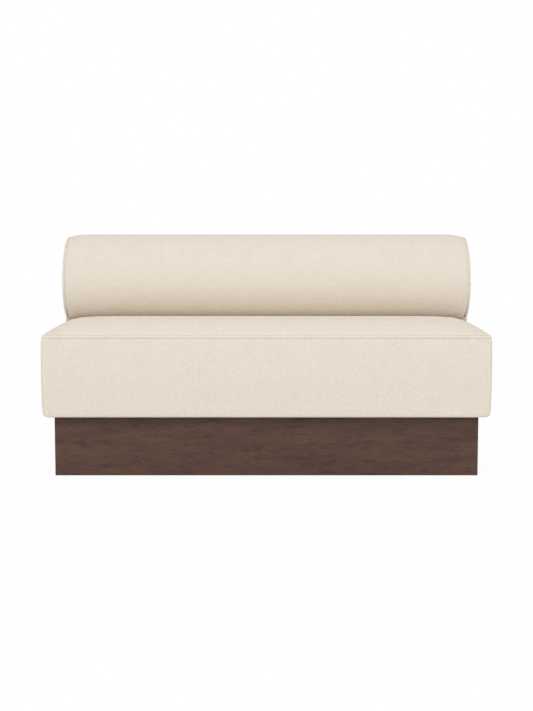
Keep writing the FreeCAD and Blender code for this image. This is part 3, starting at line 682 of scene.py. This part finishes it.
wadding = seatFilling("seat_wadding", filling["waddingInset"], filling["waddingFoot"])
dress(wadding, "fibreWrap", ["seat_fibre_wrap"])
foam = seatFilling("seat_foam_block", filling["foamInset"], filling["foamFoot"])
dress(foam, "seatFoam", ["seat_foam"])
for node in ("border_padding_front", "border_padding_left", "border_padding_right"):
    pad = makeBorderPad(node.replace("padding", "pad"), node)
    dress(pad, "fibreWrap", [node])
print("seat filling and pads made")


# roll backrest

roll = {
    "centreY": 0.231, "centreZ": 0.651, "halfDepth": 0.148, "halfHeight": 0.1587, "lean": 0.025,
    "opening": 1.2,  # angle that the oval goes on past its top and its bottom
    "seamX": 0.728,
    "taper": 0.0086, "taperLength": 0.086,
    "endLift": 0.0028, "liftSpeed": 1.4,
    "dome": 0.022,
    "rear": 0.305, "notchY": 0.2474, "notchZ": 0.7486,
    "finePoints": 3000, "evenPoints": 2400, "points": 168,
    "stationGap": 0.011, "bendSteps": 10, "bendClear": 0.004,
    "rounding": 0.0028,
    "lip": ((-0.0030, 0.0), (-0.0018, 0.0005), (-0.0011, 0.0014), (-0.0007, 0.0028), (-0.0005, 0.0052)),
    "footBite": 0.0072, "footFill": 0.56, "footTop": 0.556, "footFade": 0.050,
    "biteLength": 0.0048, "bitePower": 1.2,
    "waddingInset": 0.0025, "foamInset": 0.0148, "fillingTuck": 0.0005, "fillingWeld": 0.0006,
}
seamX, taper, taperLength = roll["seamX"], roll["taper"], roll["taperLength"]
endCap = {
    "drawn": 0.0007,  # further in than the roll's taper
    "out": 0.0003, "flatter": 0.0006, "bite": 0.12,
    "tuck": 0.005, "hemOut": 0.0002,
    "rings": (0.0007, 0.0016, 0.0030, 0.0052, 0.0084, 0.0126),
    "ringKeep": 0.96,  # share of its offset that a ring's point keeps from all edges
    "rowPitch": 0.87,  # of the lattice, in gaps between its points
    "latticeClear": 0.6,
    "merge": 1e-6,
}
# how far the taper and the end caps' domes have come, over the distance along the roll and from a cap's seam
taperShare = smoothCurve((
    (0, 0), (0.3, 0.06), (0.57, 0.2), (0.8, 0.55), (0.9, 0.76), (1, 1),
), reach=1.0, spread=0.06)
domeShare = smoothCurve((
    (0, 0), (0.0008, 0.16), (0.0025, 0.34), (0.006, 0.42), (0.016, 0.50), (0.036, 0.63), (0.066, 0.80), (0.1, 0.92),
    (0.145, 1.0),
), reach=0.16, spread=0.0008)


def resample(path, count):
    # evenly spaced points along a closed path that ends where it starts
    lengths = lengthsAlong(path)
    steps = np.linspace(0, lengths[-1], count, endpoint=False)
    return np.stack([np.interp(steps, lengths, path[:, k]) for k in range(2)], 1)


def softLoop(points):
    # corners of a closed path rounded by a short moving average
    reach = max(1, int(roll["rounding"] / np.linalg.norm(points[1] - points[0]))) + 1
    wrapped = np.concatenate([points[-reach:], points, points[:reach]])
    soft = np.stack([movingMean(wrapped[:, k], reach) for k in range(2)], 1)
    return np.concatenate([soft, soft[:1]])


def rollOutline(drawn, inset, lift):
    # the roll's section as (y, z): a leaning oval, flat behind and notched over the slab
    a = roll["halfDepth"] - drawn - inset
    b = roll["halfHeight"] - drawn - inset - lift
    lean = roll["lean"] * b / roll["halfHeight"]
    rear, notchY, notchZ = roll["rear"] - inset, roll["notchY"] - inset, roll["notchZ"] + inset
    angles = np.linspace(-0.5 * math.pi + roll["opening"], -1.5 * math.pi - roll["opening"], roll["finePoints"])
    y = roll["centreY"] + a * np.cos(angles) + lean * np.sin(angles)
    z = roll["centreZ"] + lift + b * np.sin(angles)
    start = np.argmax(y <= notchY)
    finish = len(y) - 1 - np.argmax((y <= rear)[::-1])
    arc = np.stack([y[start:finish + 1], z[start:finish + 1]], 1)
    path = np.concatenate([arc, [(rear, notchZ), (notchY, notchZ), arc[0]]])
    return resample(softLoop(resample(path, roll["evenPoints"])), roll["points"])


def rollLift(x):
    # the underside rises a little towards the end seams
    share = (abs(x) - seamX + taperLength) / taperLength
    return roll["endLift"] * math.sin(0.5 * math.pi * min(1, max(0, share * roll["liftSpeed"])))


def footShape(outline, drawn, bite):
    # at the roll's foot the ends taper less, and their seams bite deeper
    inward = unit(np.array((roll["centreY"], roll["centreZ"])) - outline)
    low = np.clip((roll["footTop"] - outline[:, 1]) / roll["footFade"], 0, 1)
    shift = low * low * (3 - 2 * low) * (roll["footBite"] * bite - roll["footFill"] * drawn)
    return outline + inward * shift[:, None]


def rollStation(x, drawn, inset=0.0):
    outline = rollOutline(drawn, inset, rollLift(x))
    bite = max(0, 1 - (seamX - abs(x)) / roll["biteLength"])
    outline = footShape(outline, min(drawn, taper), bite ** roll["bitePower"])
    return np.column_stack([np.full(len(outline), x), outline])


def rollStations():
    # (place, drawn in) from the middle to the right end
    start = seamX - taperLength
    flat = np.linspace(0, start, int(start / roll["stationGap"]))
    bend = np.linspace(start, seamX - roll["bendClear"], roll["bendSteps"])[1:]
    drawn = [taper * float(taperShare((x - start) / taperLength)) for x in bend]
    return [(x, 0.0) for x in flat] + list(zip(bend, drawn))


def bothSides(half):
    return [(-x, drawn) for x, drawn in reversed(half[1:])] + half


def makeRollCover():
    lip = [(seamX + out, taper + depth) for out, depth in roll["lip"]]
    rows = [rollStation(x, drawn) for x, drawn in bothSides(rollStations()[:-1] + lip)]
    return rowMesh("roll_cover_panel", rows, wrap=True, flip=True)


def insideOutline(points, outline):
    # even-odd test of points against a closed outline
    (y0, z0), (y1, z1) = outline.T, np.roll(outline, -1, 0).T
    y, z = points[:, :1], points[:, 1:]
    at = y0 + (z - z0) * (y1 - y0) / np.where(z0 == z1, 1, z1 - z0)
    return (((z0 > z) != (z1 > z)) & (y < at)).sum(1) % 2 == 1


def distanceTo(points, outline):
    edges = np.roll(outline, -1, 0) - outline
    away = points[:, None] - outline
    shares = np.clip((away * edges).sum(2) / (edges * edges).sum(1), 0, 1)
    return np.linalg.norm(away - shares[..., None] * edges, axis=2).min(1)


def domedEnd(name, side, outline, place, dome, tuck):
    # a domed panel over an outline, from rings near its edge and an even spread of points inside
    gap = np.linalg.norm(outline[1] - outline[0])
    tangent = np.roll(outline, -1, 0) - np.roll(outline, 1, 0)
    outward = unit(np.stack([-tangent[:, 1], tangent[:, 0]], 1))
    points = [outline]
    for offset in endCap["rings"]:
        ring = outline - outward * offset
        clear = distanceTo(ring, outline) > offset * endCap["ringKeep"]
        points.append(ring[insideOutline(ring, outline) & clear])
    low, high = outline.min(0), outline.max(0)
    lattice = []
    for row, z in enumerate(np.arange(low[1], high[1], gap * endCap["rowPitch"])):
        lattice += [(y, z) for y in np.arange(low[0] + (row % 2) * gap / 2, high[0], gap)]
    lattice = np.array(lattice)
    lattice = lattice[insideOutline(lattice, outline)]
    clear = distanceTo(lattice, outline) > endCap["rings"][-1] + gap * endCap["latticeClear"]
    flat = [Vector(point) for point in np.concatenate(points + [lattice[clear]])]
    count = len(outline)
    following = [(i + 1) % count for i in range(count)]
    edges = list(enumerate(following))
    verts, _, faces, sources, _, _ = delaunay_2d_cdt(flat, edges, [], 1, endCap["merge"])
    verts = np.array([tuple(v) for v in verts])
    placed = {given: i for i, group in enumerate(sources) for given in group}
    # a hem round the panel's rim, tucked behind the roll's cover
    base = len(verts)
    quads = [(placed[i], placed[n], base + n, base + i) for i, n in edges]
    faces = [tuple(face) for face in faces] + quads
    rise = place + dome * domeShare(distanceTo(verts, outline))
    spots = np.concatenate([verts, outline - outward * tuck])
    out = side * np.concatenate([rise, np.full(count, place + endCap["hemOut"])])
    places = spots[[corner for face in faces for corner in face]]
    return joinPieces(name, [addMesh(name, np.column_stack([out, spots]), faces, places)])


def rollFilling(name, inset):
    stations = bothSides(rollStations() + [(seamX, taper)])
    pieces = [rowMesh(name + "_body", [rollStation(x, drawn, inset) for x, drawn in stations], wrap=True)]
    outline = rollOutline(taper, inset, roll["endLift"])
    dome = roll["dome"] - inset
    pieces += [domedEnd(f"{name}_{side}", side, outline, seamX, dome, roll["fillingTuck"]) for side in (-1, 1)]
    return joinPieces(name, pieces, weld=roll["fillingWeld"])


dress(makeRollCover(), "creamHopsack", ["roll_cover"])
outline = footShape(rollOutline(taper + endCap["drawn"], 0.0, roll["endLift"]), taper, endCap["bite"])
place, dome = seamX + endCap["out"], roll["dome"] - endCap["flatter"]
for side, node in ((-1, "roll_cap_left"), (1, "roll_cap_right")):
    panel = domedEnd(node + "_panel", side, outline, place, dome, endCap["tuck"])
    dress(panel, "creamHopsack", [node])
print("roll cover made")

rollWadding = rollFilling("roll_wadding", roll["waddingInset"])
dress(rollWadding, "fibreWrap", ["roll_fibre_wrap"])
rollFoam = rollFilling("roll_foam_core", roll["foamInset"])
dress(rollFoam, "seatFoam", ["roll_foam"])
print("roll filling made")


# back slab

slab = {
    "radius": 0.009, "leastRadius": 0.002,
    "seamDepth": 0.0014, "seamHalf": 0.0014,
    "seamLap": 0.0002,  # how far the cover's rear edge runs on behind the rear seam
    # the seams' sections, in half widths and depths
    "rearGroove": ((0.5, 0.25), (1, 0)), "groove": ((1, 0), (0.4, 0.4), (0, 1), (-0.4, 0.4), (-1, 0)),
    "tuckLength": 0.0016,
    "nearSeam": (0.0, 0.0006, 0.0014, 0.0028, 0.0056),
    "evenFrom": 0.012,
    "arcSteps": 6, "alongSteps": 60, "acrossSteps": 88, "upSteps": 44,
    "rearClear": (0.0002, 0.0001, 0.0004),  # from the rear node's sides, face and top
    # the cover's top edge, as (drawn in, below the top)
    "edge": ((0.0, 0.009), (0.0007, 0.0055), (0.0022, 0.0026), (0.0046, 0.0008), (0.008, 0.0)),
    # the start of the same edge across the rear, from the rear panel's seam up
    "rearEdge": ((0.0014, 0.0088), (0.0004, 0.0084), (0.0, 0.0076)),
    # its turned-under foot, as (drawn in, height)
    "foot": ((0.020, -0.0004), (0.004, -0.0004), (0.0012, 0.0002), (0.0003, 0.0014), (0.0, 0.004)),
}
slabPad = {
    "inset": 0.0024,
    "clear": 0.0004, "endClear": 0.0003, "edgeRadius": 0.001,
    "roundness": 0.96,  # of half the width, for the corners of the side pads
    "levels": 24, "topStart": 0.008, "topSteps": (0.0060, 0.0042, 0.0026, 0.0012, 0.0004),
}
slabLow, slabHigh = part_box("back_cover_front")


def slabOutline(inset):
    # the slab's plan, from the rear seam round one side, the front and the other side
    side, front, rear = slabHigh.x - inset, slabLow.y + inset, slabHigh.y - inset
    radius = max(slab["radius"] - inset, slab["leastRadius"])
    flat = side - radius
    depth, half = slab["seamDepth"], slab["seamHalf"]
    steps = slab["arcSteps"]

    def arc(y, start, finish):
        angles = [start + (finish - start) * k / steps for k in range(1, steps)]
        return [(flat + radius * math.cos(angle), y + radius * math.sin(angle)) for angle in angles]

    high, low = rear - radius, front + radius
    quarter = [(flat - slab["seamLap"], rear - depth)]
    quarter += [(flat + half * across, rear - depth * deep) for across, deep in slab["rearGroove"]]
    quarter += arc(high, 0.5 * math.pi, 0.0)
    quarter += [(side, high + (low - high) * k / steps) for k in range(steps + 1)]
    quarter += arc(low, 0.0, -0.5 * math.pi)
    quarter += [(flat + half * across, front + depth * deep) for across, deep in slab["groove"]]
    middle = [(flat * (1 - 2 * k / slab["alongSteps"]), front) for k in range(1, slab["alongSteps"])]
    return np.array(quarter + middle + [(-x, y) for x, y in reversed(quarter)])


def seamSteps(low, high, count):
    # even steps between two seams, closer together beside each seam
    near = np.array(slab["nearSeam"])
    even = np.linspace(low + slab["evenFrom"], high - slab["evenFrom"], count)
    return np.concatenate([low + near, even, (high - near)[::-1]])


def rearRow(x, y, fromSeam, height):
    # a row across the slab's rear, tucked in beside the seams
    tuck = slab["seamDepth"] * np.exp(-np.maximum(fromSeam, 0) / slab["tuckLength"])
    return np.column_stack([x, y - tuck, np.full(len(x), height)])


def footLevels():
    return [(drawn, slabLow.z + height) for drawn, height in slab["foot"]]


def makeSlabCover():
    top = slabHigh.z
    upright = np.linspace(slabLow.z + slab["evenFrom"], top - slab["edge"][0][1], slab["upSteps"])
    levels = footLevels() + [(0.0, z) for z in upright]
    levels += [(drawn, top - below) for drawn, below in slab["edge"][1:]]
    rows = []
    for inset, height in levels:
        outline = slabOutline(inset)
        rows.append(np.column_stack([outline, np.full(len(outline), height)]))
    walls = rowMesh("slab_walls", rows, flip=True)
    last = rows[-1]
    half = len(last) // 2
    lid = rowMesh("slab_lid", [last[:half], last[::-1][:half]])
    # the same rounding across the rear, above the rear panel's seam
    rounding = [(drawn, below, 0.0) for drawn, below in slab["rearEdge"]]
    rounding += [(drawn, below, drawn) for drawn, below in slab["edge"][1:]]
    rear = []
    for drawn, below, inset in rounding:
        edge = slabOutline(inset)[0][0]
        x = seamSteps(-edge, edge, slab["acrossSteps"])
        rear.append(rearRow(x, slabHigh.y - drawn, edge - abs(x), top - below))
    rear.append(rear[-1].copy())
    rear[-1][:, 1] = last[0][1]
    return joinPieces("slab_cover_wrap", [walls, lid, rowMesh("slab_rear_edge", rear, flip=True)])


def makeSlabRear():
    low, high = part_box("back_cover_rear")
    clearSide, clearFace, clearTop = slab["rearClear"]
    x = seamSteps(low.x + clearSide, high.x - clearSide, slab["acrossSteps"])
    rise = seamSteps(slabLow.z, high.z - clearTop, slab["upSteps"])
    rows = []
    for drawn, height in footLevels() + [(0.0, z) for z in rise[len(slab["nearSeam"]):]]:
        fromSeam = np.minimum(np.minimum(x - x[0], x[-1] - x), rise[-1] - height)
        rows.append(rearRow(x, high.y - clearFace - drawn, fromSeam, height))
    return rowMesh("slab_rear_panel", rows, flip=True)


def makeSlabPad(name, node):
    # wadding under the slab's cover, which follows its rounded top edge
    low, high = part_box(node)
    top = slabHigh.z - slabPad["inset"]
    drawnIn, below = zip(*slab["edge"])
    count = 2 if node.endswith("top") else slabPad["levels"]
    levels = list(np.linspace(low.z + slabPad["clear"], top - slabPad["topStart"], count))
    loops = []
    for height in levels + [top - step for step in slabPad["topSteps"]]:
        inset = slabPad["inset"] + float(np.interp(height - top, [-b for b in below], drawnIn))
        front, rear = slabLow.y + inset, slabHigh.y - inset
        half, middle, radius = high.x - slabPad["endClear"], 0.0, slabPad["edgeRadius"]
        if not node.endswith("top"):
            half, middle = sideSpan(low, high, slabHigh.x - inset)
            radius = half * slabPad["roundness"]
        loops.append(roundedLoop(half, front, rear, radius, radius, height, middle))
    return closedForm(name, loops)


for node in ("back_padding_left", "back_padding_right", "back_padding_top"):
    pad = makeSlabPad(node.replace("padding", "pad"), node)
    dress(pad, "fibreWrap", [node])
slabCover = dress(makeSlabCover(), "creamHopsack", ["back_cover_front"])
dress(makeSlabRear(), "creamHopsack", ["back_cover_rear"])
softened(slabCover)
print("back slab made")


# seat deck

webbing = {
    "strips": 11,
    "half": (0.029, 0.0009),
    "powers": (0.35, 0.6),  # below 1, the section is squarer than an oval
    "sag": 0.00012, "rows": 40, "sides": 20,
}
insulator = {"radii": (0.006, 0.004), "edge": ((0.0002, 0.0008), (0.001, 0.0002))}


def makeWebbing():
    low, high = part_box("seat_webbing")
    count = webbing["strips"]
    pitch = (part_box("seat_rail_right")[0].x * 2) / count
    angles = 2 * math.pi * np.arange(webbing["sides"]) / webbing["sides"]
    waves = zip((np.cos(angles), np.sin(angles)), webbing["half"], webbing["powers"])
    section = list(zip(*(half * np.copysign(abs(wave) ** power, wave) for wave, half, power in waves)))
    strips = []
    for index in range(count):
        centre = (index - (count - 1) / 2) * pitch
        rows = []
        for y in np.linspace(low.y, high.y, webbing["rows"]):
            sag = webbing["sag"] * math.sin(math.pi * (y - low.y) / (high.y - low.y))
            middle = (low.z + high.z) / 2 - sag
            rows.append([(centre + across, y, middle + up) for across, up in section])
        strips.append(rowMesh(f"strip{index}", rows, wrap=True))
    return joinPieces("seat_webbing_strips", strips)


def drawnIn(box, drawn, radii, height):
    # a loop drawn in from the sides of a box
    low, high = box
    return roundedLoop(high.x - drawn, low.y + drawn, high.y - drawn, *radii, height)


def makeLayer(name, node, radii, edge):
    # one thin layer in a node's box; its edge is (from the faces, drawn in), from the outside inwards
    low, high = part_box(node)
    levels = [(low.z + offset, drawn) for offset, drawn in edge]
    levels += [(high.z - offset, drawn) for offset, drawn in reversed(edge)]
    return closedForm(name, [drawnIn((low, high), drawn, radii, height) for height, drawn in levels])


dress(makeWebbing(), "elasticWebbing", ["seat_webbing"])
felt = makeLayer("seat_insulator_felt", "seat_insulator", **insulator)
dress(felt, "insulatorFelt", ["seat_insulator"])
print("seat deck made")


# stitches

stitch = {"length": 0.0034, "gap": 0.0014, "radius": 0.00042, "inset": 0.0036, "rise": 0.0094, "up": 0.9}
threadSides = 6
# along a thread, as shares of its length and radius, and its rise in radii
threadProfile = ((0.0, 0.25, -0.9), (0.12, 0.8, -0.1), (0.5, 1.0, 0.35), (0.88, 0.8, -0.1), (1.0, 0.25, -0.9))


def makeStitches(name, path, facing, thread):
    # short threads or staples along a path of points, each lying on the cloth
    lengths = lengthsAlong(path)
    pitch = thread["length"] + thread["gap"]
    radius = thread["radius"]
    verts, faces = [], []
    for number in range(int(lengths[-1] / pitch)):
        place = number * pitch
        start, finish, out = (
            np.array([np.interp(at, lengths, line[:, k]) for k in range(3)])
            for at, line in ((place, path), (place + thread["length"], path), (place, facing))
        )
        axis = unit(finish - start)
        out = unit(out - axis * (out @ axis))
        across = np.cross(axis, out)
        base = len(verts)
        for share, size, rise in threadProfile:
            centre = start + (finish - start) * share + out * radius * rise
            for k in range(threadSides):
                angle = 2 * math.pi * k / threadSides
                verts.append(centre + radius * size * (math.cos(angle) * across + math.sin(angle) * out))
        for first in range(base, len(verts) - threadSides, threadSides):
            second = first + threadSides
            for k, n in enumerate([*range(1, threadSides), 0]):
                faces.append((first + k, first + n, second + n, second + k))
    return addMesh(name, verts, faces)


def seatStitchPath():
    radii = (seat["cornerRadius"], seat["rearRadius"])
    sides = drawnIn((topLow, topHigh), stitch["inset"], radii, seamHeight + stitch["rise"])
    path = np.concatenate([sides[3][:-1], sides[0][:-1], sides[1]])  # the left side, the front, then the right
    tangent = np.gradient(path, axis=0)
    out = unit(np.column_stack([tangent[:, 1], -tangent[:, 0], np.zeros(len(path))]))
    out[:, 2] = stitch["up"]
    return path, out


dress(makeStitches("seat_top_stitches", *seatStitchPath(), stitch), "creamThread")
print("stitches made")


# dust cloth under the bench

dustCloth = {"radii": (0.006, 0.006), "edge": ((0.0, 0.0004), (0.0002, 0.0))}
staple = {"length": 0.0100, "gap": 0.0520, "radius": 0.0004, "inset": 0.005, "radii": (0.004, 0.004)}
dustLow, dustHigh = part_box("seat_dust_cover")

dustPiece = makeLayer("seat_dust_cloth", "seat_dust_cover", **dustCloth)
dress(dustPiece, "blackDustCloth", ["seat_dust_cover"])
path = joinedLoop(drawnIn((dustLow, dustHigh), staple["inset"], staple["radii"], dustLow.z))
facing = np.tile((0.0, 0.0, -1.0), (len(path), 1))
dress(makeStitches("dust_cloth_staples", path, facing, staple), "zincSteel")
print("dust cloth made")


# materials of the pieces that keep their frame shapes

finishes = {
    "plinth_": "plinth", "plinth_brace": "timber", "back_rear_board": "hardboard",
    "seat_base_board": "plywood", "back_front_board": "plywood", "roll_board": "plywood",
    "foot_pad": "blackNylon", "foot_stud": "zincSteel",
}
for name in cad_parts:
    node = bpy.data.objects[name]
    if node.hide_render:
        continue
    match = max((key for key in finishes if name.startswith(key)), key=len, default=None)
    finish = finishes.get(match, "timber")
    if name.endswith(("_nuts", "_bolts", "_washers", "_screws")):
        finish = "zincSteel"
    material = woodFor(finish, name) if finish in woods else materials[finish]
    for socket in node.material_slots:
        socket.material = material
print("frame nodes finished")


# camera, light and floor

view = {"place": (0.0, -4.724, 0.866), "pitch": 5.83, "lens": 67.6, "sensor": 36, "far": 100}
light = {
    "glow": 0.73,  # the camera and reflections see the world plain white
    "place": (0.0, -3.6, 3.8), "target": (0, 0, 0.3), "size": (5.0, 2.4), "power": 84,
}
ground = {
    "corners": ((-9, -6, 0), (9, -6, 0), (9, 9, 0), (-9, 9, 0)),
    "paint": 0.93,
    "white": 0.962,  # share of plain white that the camera sees
}

camera = bpy.data.cameras.new("camera")
camera.lens = view["lens"]
camera.sensor_width = view["sensor"]
camera.clip_end = view["far"]
eye = addPiece("camera", camera)
eye.location = view["place"]
eye.rotation_euler = (math.radians(90 - view["pitch"]), 0, 0)
bpy.context.scene.camera = eye


def mixOut(share, first, second, output):
    # a mix of two shaders, as the tree's output
    mixed = addNode("ShaderNodeMixShader", {0: share, 1: first.outputs[0], 2: second.outputs[0]})
    addNode(output, {0: mixed.outputs[0]})


world = bpy.data.worlds.new("studio")
bpy.context.scene.world = world
tree = freshTree(world)
rays = tree.nodes.new("ShaderNodeLightPath").outputs
seen = sums("MAXIMUM", rays["Is Camera Ray"], rays["Is Glossy Ray"])
glow = addNode("ShaderNodeBackground", {"Color": (1, 1, 1, 1), "Strength": light["glow"]}, tree)
bright = addNode("ShaderNodeBackground", {"Color": (1, 1, 1, 1), "Strength": 1.0}, tree)
mixOut(seen, glow, bright, "ShaderNodeOutputWorld")

lamp = bpy.data.lights.new("frontLamp", "AREA")
lamp.shape = "RECTANGLE"
lamp.size, lamp.size_y = light["size"]
lamp.energy = light["power"]
lampPiece = addPiece("frontLamp", lamp)
lampPiece.location = light["place"]
lampPiece.rotation_euler = (Vector(light["target"]) - Vector(light["place"])).to_track_quat("-Z", "Y").to_euler()

floor = addMesh("floor", ground["corners"], [(0, 1, 2, 3)])
paleFloor = bpy.data.materials.new("paleFloor")
tree = freshTree(paleFloor)
rays = tree.nodes.new("ShaderNodeLightPath").outputs
matt = addNode("ShaderNodeBsdfDiffuse", {"Color": (ground["paint"],) * 3 + (1,)}, tree)
bright = addNode("ShaderNodeEmission", {"Color": (1, 1, 1, 1), "Strength": 1.0}, tree)
mixOut(sums("MULTIPLY", rays["Is Camera Ray"], ground["white"]), matt, bright, "ShaderNodeOutputMaterial")
floor.data.materials.append(paleFloor)
bpy.context.scene.view_settings.view_transform = "Standard"
print("camera, light and floor made")
